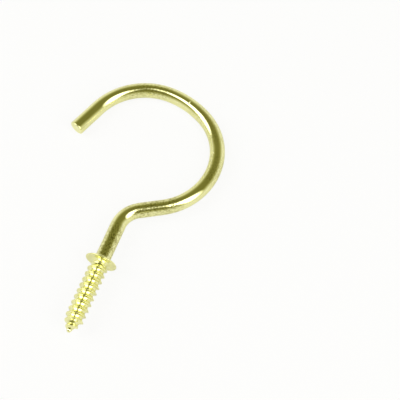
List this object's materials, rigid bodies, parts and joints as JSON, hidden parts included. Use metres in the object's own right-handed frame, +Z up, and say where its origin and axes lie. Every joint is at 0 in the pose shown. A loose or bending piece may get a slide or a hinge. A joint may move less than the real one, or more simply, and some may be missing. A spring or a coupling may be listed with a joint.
{
  "type": "cup hook",
  "caption": "Round open wire hook with an upset collar and a wood screw thread, for screwing into a shelf or ceiling to hang cups, cords or utensils.",
  "frame": {"origin": "centre of the collar's seat face, on the screw axis", "axes": "+Y from the collar towards the crown of the hook, +Z up with the hook lying flat, and the hook opens towards -X"},
  "size_m": [0.0423, 0.0741, 0.0083],
  "materials": {
    "brass_plate": "bright brass plate over drawn wire"
  },
  "bodies": {
    "root": {"cup_hook": "brass_plate"}
  },
  "joints": []
}
